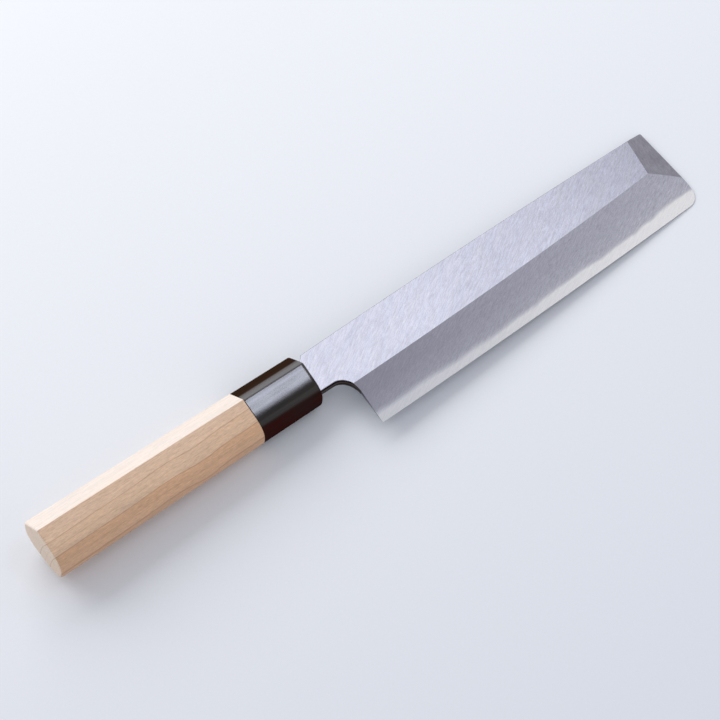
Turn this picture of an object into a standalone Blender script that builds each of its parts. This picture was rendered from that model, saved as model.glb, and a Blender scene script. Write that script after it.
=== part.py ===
"""Usuba knife: a laminated single-bevel blade in a ridged wooden handle with a horn ferrule.

The pieces are drawn in the knife's own frame and hang on one empty, which lays the knife down
as it rests on a table. In that frame the origin is the middle of the ferrule's front face, +X
runs to the tip, +Y to the spine, and +Z out of the ground front of the blade. All lengths are
in metres.
"""
import math

import bmesh
import bpy
from mathutils import Vector

# Spacing kept between pieces that are pressed or welded together
FIT_GAP = 0.0003

# Wooden handle
HANDLE_LENGTH = 0.1002
BUTT_WIDTH = 0.0263
BUTT_HEIGHT = 0.0215
JOINT_WIDTH = 0.0242
JOINT_HEIGHT = 0.0200
BUTT_ROUNDING = 0.0010
WOOD_RIDGE_SOFTNESS = 0.0004

# Ridged section shared by the handle and the ferrule
RIDGE_OFFSET = 0.0029
CROWN_DROP = 0.00185
CROWN_FULLNESS = 2.35
PALM_FULLNESS = 3.0
FLAT_FOOT_ANGLE = math.radians(11.0)

# Horn ferrule
FERRULE_LENGTH = 0.0301
FERRULE_FRONT_WIDTH = 0.0236
FERRULE_FRONT_HEIGHT = 0.0195
FERRULE_RIM_ROUNDING = 0.0013
FERRULE_RIDGE_SOFTNESS = 0.0026
FERRULE_FRONT_WALL = 0.0062

# Tenon that the wood carries into the ferrule
TENON_WIDTH = 0.0176
TENON_HEIGHT = 0.0136
TENON_CHAMFER = 0.0006

# Blade outline
HEEL_X = 0.0133
HEEL_LEAN = 0.0007
BLADE_LENGTH = 0.1755
SPINE_HEEL_Y = 0.0095
SPINE_TIP_Y = 0.0117
SPINE_CROWN = 0.0008
EDGE_HEEL_Y = -0.0342
EDGE_TIP_Y = -0.0285
EDGE_BELLY = 0.00075
END_LEAN = 0.0005
CORNER_RUN = 0.0065
CORNER_RISE = 0.0085
SPINE_CORNER = 0.0008

# Neck between the blade and the ferrule
NOTCH_X = 0.0036
NOTCH_DEPTH = 0.0019
NECK_LOWER_Y = -0.0095
ARCH_LENGTH = 0.0071
ARCH_HEIGHT = 0.0090

# Hidden tang
TANG_LENGTH = 0.0880
TANG_ROOT = 0.0070
TANG_MOUTH_UPPER_Y = 0.0074
TANG_MOUTH_LOWER_Y = -0.0093
TANG_ROOT_UPPER_Y = 0.0062
TANG_ROOT_LOWER_Y = -0.0067
TANG_END_UPPER_Y = 0.0025
TANG_END_LOWER_Y = -0.0045
TANG_END_THICKNESS = 0.0024

# Blade thickness and front grind
NECK_THICKNESS = 0.0039
TIP_THICKNESS = 0.0023
EDGE_LAND = 0.00015
BEVEL_HEEL_WIDTH = 0.0201
BEVEL_TIP_WIDTH = 0.0228
BEVEL_END_LIFT = 0.0007
SPINE_EASING = 0.0004
END_FACET_LENGTH = 0.0074
END_FACET_DROP = 0.00065
END_FACET_SKEW = math.radians(9.5)

# Hard steel layer forged to the back of the soft iron
STEEL_HEEL_THICKNESS = 0.00094
STEEL_TIP_THICKNESS = 0.00074
STEEL_START_X = 0.0080

# Shallow hollow ground into the steel back, inside a flat rim
HOLLOW_DEPTH = 0.00022
HOLLOW_RIM = 0.0032
HOLLOW_SPREAD = 1.12

# How late along the blade the bevel's line curls up towards the end facet
BEVEL_LIFT_POWER = 12

# Mesh resolution
OVAL_STEPS = 54
FLAT_STEPS = 4
RIDGE_STEPS = 5
CROWN_STEPS = 4
ROUNDING_STEPS = 4
CURVE_STEPS = 12
BLADE_STATIONS = 18
BEVEL_ROWS = 4
HOLLOW_STATIONS = 20
HOLLOW_STEPS = 10

# How far cutting shapes reach past the material that they cut, and the bevel's past the edge
REACH = 0.0200
EDGE_OVERRUN = 0.0020

# Thickness of the forging over that of the finished neck
FORGING_ALLOWANCE = 0.0020

TIP_X = HEEL_X + BLADE_LENGTH
BACK_Z = -NECK_THICKNESS / 2
TENON_LENGTH = FERRULE_LENGTH - FERRULE_FRONT_WALL
BUTT_X = -FERRULE_LENGTH - HANDLE_LENGTH


def mix(start, end, share):
    return start + (end - start) * share


def smooth(share):
    return share * share * (3 - 2 * share)


def steps(start, end, count):
    """Evenly spaced values from start to end, both included."""
    return [mix(start, end, i / count) for i in range(count + 1)]


def clear_scene():
    for old in list(bpy.data.objects):
        bpy.data.objects.remove(old, do_unlink=True)


def make_material(name, colour, roughness, metallic):
    material = bpy.data.materials.new(name)
    material.use_nodes = True
    shader = material.node_tree.nodes["Principled BSDF"]
    shader.inputs["Base Color"].default_value = (*colour, 1.0)
    shader.inputs["Roughness"].default_value = roughness
    shader.inputs["Metallic"].default_value = metallic
    material.diffuse_color = (*colour, 1.0)
    return material


def add_object(name, bm, material, parent):
    """Turn a bmesh into a smooth-shaded object that keeps its crisp edges."""
    bmesh.ops.recalc_face_normals(bm, faces=bm.faces)
    mesh = bpy.data.meshes.new(name)
    bm.to_mesh(mesh)
    bm.free()
    mesh.shade_smooth()
    mesh.set_sharp_from_angle(angle=math.radians(25.0))
    mesh.materials.append(material)
    item = bpy.data.objects.new(name, mesh)
    item.parent = parent
    bpy.context.collection.objects.link(item)
    return item


def add_cutter(name, bm, material, parent):
    cutter = add_object(name, bm, material, parent)
    cutter.hide_render = True
    cutter.display_type = "WIRE"
    return cutter


def combine(item, cutter, operation):
    modifier = item.modifiers.new(cutter.name, "BOOLEAN")
    modifier.operation = operation
    modifier.object = cutter
    modifier.solver = "EXACT"


def loft(rings):
    """Skin a closed solid over rings of (x, y, z) points that all have the same count."""
    bm = bmesh.new()
    loops = [[bm.verts.new(point) for point in ring] for ring in rings]
    count = len(rings[0])
    for near, far in zip(loops, loops[1:]):
        for i in range(count):
            j = (i + 1) % count
            bm.faces.new((near[i], near[j], far[j], far[i]))
    bm.faces.new(loops[0])
    bm.faces.new(reversed(loops[-1]))
    return bm


def prism(outline, bottom, top):
    """Extrude a closed (x, y) outline between two heights."""
    bm = bmesh.new()
    floor = bm.faces.new([bm.verts.new((x, y, bottom)) for x, y in outline])
    grown = bmesh.ops.extrude_face_region(bm, geom=[floor])
    raised = [part for part in grown["geom"] if isinstance(part, bmesh.types.BMVert)]
    bmesh.ops.translate(bm, verts=raised, vec=(0, 0, top - bottom))
    return bm


def corner_curve(start, corner, end, count):
    """Round a corner with a parabola that leaves and meets its two sides tangentially."""
    start, corner, end = Vector(start), Vector(corner), Vector(end)
    points = []
    for t in steps(0, 1, count):
        points.append(start * (1 - t) ** 2 + corner * 2 * t * (1 - t) + end * t * t)
    return points


# Handle section

def oval_point(width, height, angle):
    """Point of the full oval that the ridge stands on, seen from the oval's own middle."""
    half_width = width / 2
    half_height = (height - CROWN_DROP) / 2
    fullness = CROWN_FULLNESS if math.sin(angle) > 0 else PALM_FULLNESS
    across = abs(math.cos(angle) / half_width) ** fullness
    upward = abs(math.sin(angle) / half_height) ** fullness
    radius = (across + upward) ** (-1 / fullness)
    return Vector((radius * math.cos(angle), radius * math.sin(angle) - CROWN_DROP / 2))


def crown_tangent_angle(width, height, ridge):
    """Angle at which a line from the ridge towards the edge side just touches the oval."""
    best_angle, best_slope = math.pi / 2, math.inf
    for angle in steps(math.radians(95.0), math.radians(175.0), 160):
        point = oval_point(width, height, angle)
        slope = (ridge.y - point.y) / (ridge.x - point.x)
        if slope < best_slope:
            best_angle, best_slope = angle, slope
    return best_angle


def handle_section(width, height, softness):
    """Closed (y, z) outline: an oval with one long ridge towards the spine side of its front.

    A flat runs from the ridge down to the spine side, and the crown falls gently from the
    ridge until it joins the oval.
    """
    ridge = Vector((RIDGE_OFFSET, height / 2))
    foot = oval_point(width, height, FLAT_FOOT_ANGLE)
    tangent_angle = crown_tangent_angle(width, height, ridge)
    tangent = oval_point(width, height, tangent_angle)
    flat_end = ridge + (foot - ridge).normalized() * softness
    crown_start = ridge + (tangent - ridge).normalized() * softness
    outline = [foot.lerp(flat_end, t) for t in steps(0, 1, FLAT_STEPS)[:-1]]
    outline += corner_curve(flat_end, ridge, crown_start, RIDGE_STEPS)
    outline += [crown_start.lerp(tangent, t) for t in steps(0, 1, CROWN_STEPS)[1:]]
    full_turn = FLAT_FOOT_ANGLE + 2 * math.pi
    outline += [oval_point(width, height, a) for a in steps(tangent_angle, full_turn, OVAL_STEPS)[1:-1]]
    return outline


def tenon_section(outline, width, height):
    """Elliptical (y, z) outline with one point for each point of the handle's outline."""
    points = []
    for point in outline:
        angle = math.atan2(point.y, point.x)
        points.append(Vector((width / 2 * math.cos(angle), height / 2 * math.sin(angle))))
    return points


def ring_at(x, outline):
    return [(x, point.x, point.y) for point in outline]


def rounded_end(x, inward, width, height, softness, radius):
    """Rings that round the rim of an end face, from the face to the full section."""
    rings = []
    for angle in steps(0, math.pi / 2, ROUNDING_STEPS):
        inset = 2 * radius * (1 - math.sin(angle))
        outline = handle_section(width - inset, height - inset, softness)
        rings.append(ring_at(x + inward * radius * (1 - math.cos(angle)), outline))
    return rings


# Blade outline

def spine_y(x):
    share = (x - HEEL_X) / BLADE_LENGTH
    return mix(SPINE_HEEL_Y, SPINE_TIP_Y, share) + 4 * SPINE_CROWN * share * (1 - share)


def edge_y(x):
    share = (x - HEEL_X) / BLADE_LENGTH
    return mix(EDGE_HEEL_Y, EDGE_TIP_Y, share) - 4 * EDGE_BELLY * share * (1 - share)


def shoulder_y(x):
    """Line on the front where the flat ends and the cutting bevel starts."""
    share = (x - HEEL_X) / BLADE_LENGTH
    width = mix(BEVEL_HEEL_WIDTH, BEVEL_TIP_WIDTH, share)
    return edge_y(x) + width + BEVEL_END_LIFT * max(0, share) ** BEVEL_LIFT_POWER


def tang_sides(x):
    """Upper and lower side of the tang for a place behind the ferrule's front face."""
    if x > -TANG_ROOT:
        share = smooth(min(1.0, -x / TANG_ROOT)) if x < 0 else 0.0
        upper = mix(TANG_MOUTH_UPPER_Y, TANG_ROOT_UPPER_Y, share)
        lower = mix(TANG_MOUTH_LOWER_Y, TANG_ROOT_LOWER_Y, share)
        return upper, lower
    share = (-x - TANG_ROOT) / (TANG_LENGTH - TANG_ROOT)
    upper = mix(TANG_ROOT_UPPER_Y, TANG_END_UPPER_Y, share)
    lower = mix(TANG_ROOT_LOWER_Y, TANG_END_LOWER_Y, share)
    return upper, lower


def tang_stations():
    return [-TANG_LENGTH] + steps(-TANG_ROOT, 0, CURVE_STEPS)


def blade_outline():
    """Whole outline of the blade and its tang in plan, from the tang's end round the edge."""
    outline = [(x, tang_sides(x)[1]) for x in tang_stations()]
    arch_x = HEEL_X + HEEL_LEAN - ARCH_LENGTH
    arch_y = NECK_LOWER_Y - ARCH_HEIGHT
    for angle in steps(0, math.pi / 2, CURVE_STEPS):
        x = arch_x + ARCH_LENGTH * math.sin(angle)
        outline.append((x, arch_y + ARCH_HEIGHT * math.cos(angle)))
    corner_x = TIP_X - CORNER_RUN
    outline += [(x, edge_y(x)) for x in steps(HEEL_X, corner_x, BLADE_STATIONS)]
    corner_start = (corner_x, edge_y(corner_x))
    corner_end = (TIP_X, EDGE_TIP_Y + CORNER_RISE)
    rounding = corner_curve(corner_start, (TIP_X, EDGE_TIP_Y), corner_end, CURVE_STEPS)
    outline += [tuple(point) for point in rounding[1:]]
    top_x = TIP_X - END_LEAN
    spine_x = top_x - SPINE_CORNER
    top = (top_x, spine_y(top_x))
    below_top = (top_x, top[1] - SPINE_CORNER)
    rounding = corner_curve(below_top, top, (spine_x, spine_y(spine_x)), ROUNDING_STEPS)
    outline += [tuple(point) for point in rounding]
    outline += [(x, spine_y(x)) for x in steps(spine_x, NOTCH_X, BLADE_STATIONS)[1:]]
    outline.append((NOTCH_X, spine_y(NOTCH_X) - NOTCH_DEPTH))
    outline += [(x, tang_sides(x)[0]) for x in reversed(tang_stations())]
    return outline


# Blade surfaces

def thickness(x):
    if x < 0:
        return mix(NECK_THICKNESS, TANG_END_THICKNESS, -x / TANG_LENGTH)
    if x < HEEL_X:
        return NECK_THICKNESS
    return mix(NECK_THICKNESS, TIP_THICKNESS, (x - HEEL_X) / BLADE_LENGTH)


def flat_z(x):
    """Height of the blade's front flat, or of the tang's front."""
    return BACK_Z + thickness(x)


def bevel_slope(x):
    return (thickness(x) - EDGE_LAND) / (shoulder_y(x) - edge_y(x))


def steel_thickness(x):
    return mix(STEEL_HEEL_THICKNESS, STEEL_TIP_THICKNESS, (x - HEEL_X) / BLADE_LENGTH)


def steel_line_y(x):
    """Line on the bevel where the hard steel comes out from under the soft iron."""
    return edge_y(x) + (steel_thickness(x) - EDGE_LAND) / bevel_slope(x)


def front_grind():
    """Everything in front of the flat, its eased spine, the bevel and the tang's front."""
    rings = []
    side, top = REACH * 2, BACK_Z + REACH
    for x in [-TANG_LENGTH - REACH, 0] + steps(HEEL_X, TIP_X, BLADE_STATIONS) + [TIP_X + REACH]:
        place = max(x, HEEL_X)
        eased_y = spine_y(place) - SPINE_EASING
        section = [(side, flat_z(x) - (side - eased_y)), (eased_y, flat_z(x))]
        low_y = edge_y(place) - EDGE_OVERRUN
        for y in steps(shoulder_y(place), low_y, BEVEL_ROWS):
            section.append((y, flat_z(x) - (shoulder_y(place) - y) * bevel_slope(place)))
        section += [(low_y, top), (side, top)]
        rings.append([(x, y, z) for y, z in section])
    return loft(rings)


def end_facet_grind():
    """Wedge in front of the facet that thins the blade towards its end."""
    start_x = TIP_X - END_LEAN - END_FACET_LENGTH
    start = Vector((start_x, spine_y(start_x), flat_z(start_x)))
    slope = END_FACET_DROP / END_FACET_LENGTH
    along = Vector((math.cos(END_FACET_SKEW), -math.sin(END_FACET_SKEW), 0))
    across = Vector((-along.y, along.x, 0))
    rings = []
    for side in (-REACH * 3, REACH):
        base = start + across * side
        ahead = base + along * REACH * 2 - Vector((0, 0, REACH * 2 * slope))
        behind = base - along * REACH + Vector((0, 0, REACH * slope))
        above = Vector((0, 0, REACH))
        rings.append([behind, ahead, ahead + above, behind + above])
    return loft(rings)


def steel_bed():
    """Room that the steel layer takes out of the iron, behind the lamination plane."""
    rings = []
    left, right, low = -REACH * 3, REACH * 2, BACK_Z - REACH
    for x in (STEEL_START_X, TIP_X + REACH):
        high = BACK_Z + steel_thickness(x)
        rings.append([(x, left, low), (x, right, low), (x, right, high), (x, left, high)])
    return loft(rings)


def steel_room():
    """Space open to the steel: behind the iron, and in front of it along the exposed edge strip."""
    rings = []
    left, right = -REACH * 3, REACH * 2
    low, high = BACK_Z - REACH, BACK_Z + REACH
    for x in [STEEL_START_X + FIT_GAP] + steps(HEEL_X, TIP_X, BLADE_STATIONS) + [TIP_X + REACH]:
        layer_top = BACK_Z + steel_thickness(x) - FIT_GAP
        strip_y = steel_line_y(max(x, HEEL_X)) - FIT_GAP
        section = [(right, low), (right, layer_top), (strip_y, layer_top)]
        section += [(strip_y, high), (left, high), (left, low)]
        rings.append([(x, y, z) for y, z in section])
    return loft(rings)


def back_hollow():
    """Shallow dome that hollows the steel's back and dies out inside a flat rim."""
    middle_x = (HEEL_X + TIP_X) / 2
    half_length = BLADE_LENGTH / 2 - HOLLOW_RIM
    rings = []
    for along in steps(-HOLLOW_SPREAD, HOLLOW_SPREAD, HOLLOW_STATIONS):
        x = middle_x + along * half_length
        low_y, high_y = edge_y(x) + HOLLOW_RIM, spine_y(x) - HOLLOW_RIM
        ring = []
        for across in steps(-HOLLOW_SPREAD, HOLLOW_SPREAD, HOLLOW_STEPS):
            rise = HOLLOW_DEPTH * (1 - across ** 2 - along ** 8)
            ring.append((x, mix(low_y, high_y, (across + 1) / 2), BACK_Z + rise))
        ring.append((x, ring[-1][1], BACK_Z - REACH))
        ring.append((x, ring[0][1], BACK_Z - REACH))
        rings.append(ring)
    return loft(rings)


def tang_slot():
    """Slot for the tang, cut alike in the ferrule and in the wood."""
    rings = []
    for x in [-TANG_LENGTH - FIT_GAP] + tang_stations()[1:] + [REACH]:
        upper, lower = tang_sides(min(0, max(x, -TANG_LENGTH)))
        right, left = upper + FIT_GAP, lower - FIT_GAP
        top, bottom = flat_z(min(0, x)) + FIT_GAP, BACK_Z - FIT_GAP
        rings.append([(x, left, bottom), (x, right, bottom), (x, right, top), (x, left, top)])
    return loft(rings)


# Sub-parts

def build_handle(material, parent):
    butt = rounded_end(BUTT_X, 1, BUTT_WIDTH, BUTT_HEIGHT, WOOD_RIDGE_SOFTNESS, BUTT_ROUNDING)
    joint = handle_section(JOINT_WIDTH, JOINT_HEIGHT, WOOD_RIDGE_SOFTNESS)
    shoulder_x = -FERRULE_LENGTH - FIT_GAP
    tenon = tenon_section(joint, TENON_WIDTH, TENON_HEIGHT)
    inset = 2 * TENON_CHAMFER
    tenon_tip = tenon_section(joint, TENON_WIDTH - inset, TENON_HEIGHT - inset)
    tenon_x = -FERRULE_FRONT_WALL - FIT_GAP
    rings = butt + [ring_at(shoulder_x, joint), ring_at(shoulder_x, tenon)]
    rings += [ring_at(tenon_x - TENON_CHAMFER, tenon), ring_at(tenon_x, tenon_tip)]
    return add_object("handle_wood", loft(rings), material, parent)


def build_ferrule(material, parent):
    rear = handle_section(JOINT_WIDTH, JOINT_HEIGHT, FERRULE_RIDGE_SOFTNESS)
    width, height = FERRULE_FRONT_WIDTH, FERRULE_FRONT_HEIGHT
    front = rounded_end(0, -1, width, height, FERRULE_RIDGE_SOFTNESS, FERRULE_RIM_ROUNDING)
    rings = [ring_at(-FERRULE_LENGTH, rear)] + front[::-1]
    return add_object("ferrule_horn", loft(rings), material, parent)


def ferrule_bore():
    joint = handle_section(JOINT_WIDTH, JOINT_HEIGHT, FERRULE_RIDGE_SOFTNESS)
    bore = tenon_section(joint, TENON_WIDTH + 2 * FIT_GAP, TENON_HEIGHT + 2 * FIT_GAP)
    return loft([ring_at(-FERRULE_LENGTH - REACH, bore), ring_at(-FERRULE_LENGTH + TENON_LENGTH, bore)])


def build_blade_stock(name, material, parent):
    """Flat forging with the whole outline, still thicker than the finished blade."""
    top = BACK_Z + NECK_THICKNESS + FORGING_ALLOWANCE
    return add_object(name, prism(blade_outline(), BACK_Z, top), material, parent)


def rest_angle():
    """Pitch at which the ferrule's front rim and the blade's end share one table plane."""
    radius = FERRULE_RIM_ROUNDING
    steepest = 0.0
    for angle in steps(0, math.pi / 2, ROUNDING_STEPS):
        x = -radius * (1 - math.cos(angle))
        z = -FERRULE_FRONT_HEIGHT / 2 + radius * (1 - math.sin(angle))
        steepest = max(steepest, (BACK_Z - z) / (TIP_X - x))
    return math.atan(steepest)


def lay_on_table(frame, pieces):
    """Pitch the knife to its resting angle, set it on z = 0 and centre it over the origin."""
    frame.rotation_euler = (0, rest_angle(), 0)
    bpy.context.view_layer.update()
    graph = bpy.context.evaluated_depsgraph_get()
    corners = []
    for piece in pieces:
        shape = piece.evaluated_get(graph)
        corners += [shape.matrix_world @ vertex.co for vertex in shape.data.vertices]
    low = [min(corner[axis] for corner in corners) for axis in range(3)]
    high = [max(corner[axis] for corner in corners) for axis in range(3)]
    frame.location = (-(low[0] + high[0]) / 2, -(low[1] + high[1]) / 2, -low[2])


def build_knife():
    clear_scene()
    frame = bpy.data.objects.new("knife_frame", None)
    bpy.context.collection.objects.link(frame)
    wood = make_material("pale_magnolia_wood", (0.62, 0.47, 0.34), 0.55, 0.0)
    horn = make_material("dark_buffalo_horn", (0.022, 0.014, 0.012), 0.22, 0.0)
    iron = make_material("brushed_soft_iron", (0.55, 0.56, 0.62), 0.38, 1.0)
    steel = make_material("polished_hard_steel", (0.78, 0.79, 0.81), 0.22, 1.0)

    handle = build_handle(wood, frame)
    ferrule = build_ferrule(horn, frame)
    iron_body = build_blade_stock("blade_soft_iron", iron, frame)
    steel_layer = build_blade_stock("blade_hard_steel", steel, frame)

    slot = add_cutter("cut_tang_slot", tang_slot(), wood, frame)
    bore = add_cutter("cut_ferrule_bore", ferrule_bore(), horn, frame)
    front = add_cutter("cut_front_grind", front_grind(), iron, frame)
    facet = add_cutter("cut_end_facet", end_facet_grind(), iron, frame)
    bed = add_cutter("cut_steel_bed", steel_bed(), steel, frame)
    room = add_cutter("keep_steel_room", steel_room(), steel, frame)
    hollow = add_cutter("cut_back_hollow", back_hollow(), steel, frame)

    combine(handle, slot, "DIFFERENCE")
    combine(ferrule, bore, "DIFFERENCE")
    combine(ferrule, slot, "DIFFERENCE")
    for blade in (iron_body, steel_layer):
        combine(blade, front, "DIFFERENCE")
        combine(blade, facet, "DIFFERENCE")
    combine(iron_body, bed, "DIFFERENCE")
    combine(steel_layer, room, "INTERSECT")
    combine(steel_layer, hollow, "DIFFERENCE")
    lay_on_table(frame, (handle, ferrule, iron_body, steel_layer))


build_knife()
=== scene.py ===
"""Usuba knife on a pale studio table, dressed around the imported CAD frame.

Each visible piece is modelled in the knife's own frame: the origin is the middle of the
ferrule's front face, +X runs to the tip, +Y to the spine and +Z out of the ground front. The
pieces are then laid on the table as the CAD lays them. All lengths are in metres.
"""
import math

import bmesh
import bpy
from mathutils import Matrix, Vector


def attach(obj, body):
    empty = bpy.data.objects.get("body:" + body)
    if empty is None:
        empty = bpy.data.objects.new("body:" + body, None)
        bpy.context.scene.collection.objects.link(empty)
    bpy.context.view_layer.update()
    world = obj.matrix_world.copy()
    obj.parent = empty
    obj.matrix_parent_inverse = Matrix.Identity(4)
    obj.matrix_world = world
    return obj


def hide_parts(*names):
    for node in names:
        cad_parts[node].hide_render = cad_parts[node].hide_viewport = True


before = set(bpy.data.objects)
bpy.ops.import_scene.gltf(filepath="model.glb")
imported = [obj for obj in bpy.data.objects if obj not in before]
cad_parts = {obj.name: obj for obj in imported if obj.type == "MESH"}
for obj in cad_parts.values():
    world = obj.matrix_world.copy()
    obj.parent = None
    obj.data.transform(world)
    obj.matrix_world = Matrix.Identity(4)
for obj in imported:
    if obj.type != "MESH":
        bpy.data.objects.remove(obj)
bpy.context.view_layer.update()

# Where the CAD lays the knife's own frame
KNIFE_ORIGIN = Vector((-0.029005, 0.010526, 0.009689))
KNIFE_PITCH = math.radians(2.34959)
LAY = Matrix.Translation(KNIFE_ORIGIN) @ Matrix.Rotation(KNIFE_PITCH, 4, "Y")

# Hair gap between pieces that touch
SEAM = 0.00001

# How far a cutting solid reaches past what it cuts
REACH = 0.0200

# Wooden handle
HANDLE_LENGTH = 0.1002
BUTT_WIDTH = 0.0263
BUTT_HEIGHT = 0.0215
JOINT_WIDTH = 0.0242
JOINT_HEIGHT = 0.0200
BUTT_ROUNDING = 0.0010
JOINT_EASING = 0.00012

# Ridged section shared by the handle and the ferrule
RIDGE_OFFSET = 0.0029
CROWN_DROP = 0.00185
CROWN_FULLNESS = 2.35
PALM_FULLNESS = 3.0
FLAT_FOOT_ANGLE = math.radians(11.0)
SHOULDER_REACH = 1.2
TANGENT_STEP = 0.001

# Easing of the section's corners: from the ridge along the crown, from the ridge along the
# flat, and at the shoulder, where the crown meets the rest of the oval
WOOD_SOFTNESS = (0.00046, 0.00046, 0.0008)
HORN_SOFTNESS = (0.0004, 0.0060, 0.0022)

# First and last section of each rod's straight run, as shares of it
HANDLE_RUN_ENDS = (0.003, 0.997)
FERRULE_RUN_ENDS = (0.01, 0.99)

# Horn ferrule
FERRULE_LENGTH = 0.0301
FERRULE_FRONT_WIDTH = 0.0236
FERRULE_FRONT_HEIGHT = 0.0195
FERRULE_RIM_ROUNDING = 0.0013
FERRULE_REAR_EASING = 0.00012
FERRULE_FRONT_WALL = 0.0062

# Tenon of the wood inside the ferrule
TENON_WIDTH = 0.0176
TENON_HEIGHT = 0.0136
TENON_CHAMFER = 0.0006

# Blade outline
HEEL_X = 0.0133
HEEL_LEAN = 0.0007
BLADE_LENGTH = 0.1755
SPINE_HEEL_Y = 0.0095
SPINE_TIP_Y = 0.0117
SPINE_CROWN = 0.0008
EDGE_HEEL_Y = -0.0342
EDGE_TIP_Y = -0.0285
EDGE_BELLY = 0.00075
END_LEAN = 0.0005
CORNER_RUN = 0.0065
CORNER_RISE = 0.0085
SPINE_CORNER = 0.0008
NOTCH_X = 0.0036
NOTCH_DEPTH = 0.0019
NOTCH_SLANT = 0.0015
NECK_START_X = 0.0006
NECK_LOWER_Y = -0.0095
ARCH_LENGTH = 0.0071
ARCH_HEIGHT = 0.0090
TANG_LENGTH = 0.0880
TANG_ROOT = 0.0070
TANG_MOUTH = (-0.0093, 0.0074)
TANG_ROOT_SIDES = (-0.0067, 0.0062)
TANG_END_SIDES = (-0.0045, 0.0025)
TANG_END_THICKNESS = 0.0024

# Blade grind
NECK_THICKNESS = 0.0039
TIP_THICKNESS = 0.0023
EDGE_LAND = 0.00015
BEVEL_HEEL_WIDTH = 0.0201
BEVEL_TIP_WIDTH = 0.0228
BEVEL_END_LIFT = 0.0007
BEVEL_BOW = 0.00045
BEVEL_LIFT_POWER = 12
BEVEL_OVERRUN = 0.002
END_FACET_LENGTH = 0.0074
END_FACET_DROP = 0.00065
END_FACET_SKEW = math.radians(9.5)
STEEL_HEEL_THICKNESS = 0.00094
STEEL_TIP_THICKNESS = 0.00074
STEEL_START_X = 0.0080
HOLLOW_DEPTH = 0.00022
HOLLOW_RIM = 0.0032
HOLLOW_SPREAD = 1.12
HOLLOW_END_POWER = 8

# Easing of the blade's long edges: spine, neck and heel
SPINE_EASING = 0.00018
NECK_EASING = 0.0015
HEEL_EASING = 0.00025
NECK_INSET_SHARE = 0.45

# How far past the heel the dark underside of the neck runs
NECK_FINISH_OVERRUN = 0.002

# Heights of the forging's rings, as shares of its thickness
FORGING_LEVELS = (0, 0.02, 0.06, 0.12, 0.2, 0.3, 0.4, 0.5, 0.6, 0.7, 0.8, 0.88, 0.94, 0.98, 1)

# How finely the long edges and the weld are stepped
EDGE_STEPS = 120
WELD_STEPS = 160

# Angle in degrees above which an edge between faces stays sharp
WOOD_SHARP_ANGLE = 28.0
HORN_SHARP_ANGLE = 30.0
BLADE_SHARP_ANGLE = 2.5

# How the lamination line strays from its straight run, as (place, stray) in millimetres
LAMINATION_WAVES = (
    (8, 0.5), (16, 0.55), (23, 0.25), (30, 0.32), (36, 0.62), (43, 0.48), (49, -0.05),
    (55, -0.45), (60, -0.28), (66, -0.05), (73, -0.58), (81, -0.42), (86, 0.0), (92, -0.3),
    (97, -0.2), (104, 0.12), (110, 0.3), (118, 0.12), (124, 0.42), (129, 0.0), (135, -0.55),
    (142, -0.2), (146, -0.3), (151, -0.13), (155, -0.45), (160, 0.2), (165, 0.05), (170, 0.8),
    (175, 0.96), (179, 0.84), (184, 0.4), (190, 0.1), (195, 0.0))

TIP_X = HEEL_X + BLADE_LENGTH
BACK_Z = -NECK_THICKNESS / 2
BUTT_X = -FERRULE_LENGTH - HANDLE_LENGTH


def mix(start, end, share):
    return start + (end - start) * share


def smooth(share):
    return share * share * (3 - 2 * share)


def steps(start, end, count):
    return [mix(start, end, i / count) for i in range(count + 1)]


# Mesh helpers

def mesh_object(name, bm):
    bmesh.ops.recalc_face_normals(bm, faces=bm.faces)
    mesh = bpy.data.meshes.new(name)
    bm.to_mesh(mesh)
    bm.free()
    item = bpy.data.objects.new(name, mesh)
    bpy.context.scene.collection.objects.link(item)
    return item


def loft(rings):
    """Skin a closed solid over rings of (x, y, z) points that all have the same count."""
    bm = bmesh.new()
    loops = [[bm.verts.new(point) for point in ring] for ring in rings]
    count = len(rings[0])
    for near, far in zip(loops, loops[1:]):
        for i in range(count):
            j = (i + 1) % count
            bm.faces.new((near[i], near[j], far[j], far[i]))
    bm.faces.new(loops[0])
    bm.faces.new(reversed(loops[-1]))
    return bm


def cut(item, bm, operation="DIFFERENCE"):
    """Cut a solid with another one and keep the result as the item's own mesh."""
    cutter = mesh_object("cutter", bm)
    modifier = item.modifiers.new("cut", "BOOLEAN")
    modifier.operation = operation
    modifier.object = cutter
    modifier.solver = "EXACT"
    bpy.context.view_layer.update()
    graph = bpy.context.evaluated_depsgraph_get()
    mesh = bpy.data.meshes.new_from_object(item.evaluated_get(graph))
    item.modifiers.clear()
    old = item.data
    item.data = mesh
    bpy.data.meshes.remove(old)
    bpy.data.objects.remove(cutter, do_unlink=True)


def copy_solid(item, name):
    twin = bpy.data.objects.new(name, item.data.copy())
    bpy.context.scene.collection.objects.link(twin)
    return twin


def corner_curve(start, corner, end, count):
    """Points from start to end on a curve that leaves and arrives in line with the corner."""
    start, corner, end = Vector(start), Vector(corner), Vector(end)
    points = []
    for t in steps(0, 1, count):
        points.append(start * (1 - t) ** 2 + corner * 2 * t * (1 - t) + end * t * t)
    return points


def finish_piece(item, name, materials, pick, sharp_angle, node):
    """Name a piece, give its faces their finishes, and lay it in its place on the table."""
    item.name = name
    item.data.name = name
    item.data.materials.clear()
    for material in materials:
        item.data.materials.append(material)
    for face in item.data.polygons:
        face.material_index = pick(face.center, face.normal)
    item.data.shade_smooth()
    item.data.set_sharp_from_angle(angle=math.radians(sharp_angle))
    item.data.transform(LAY)
    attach(item, "root")
    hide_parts(node)


# Handle section

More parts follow.
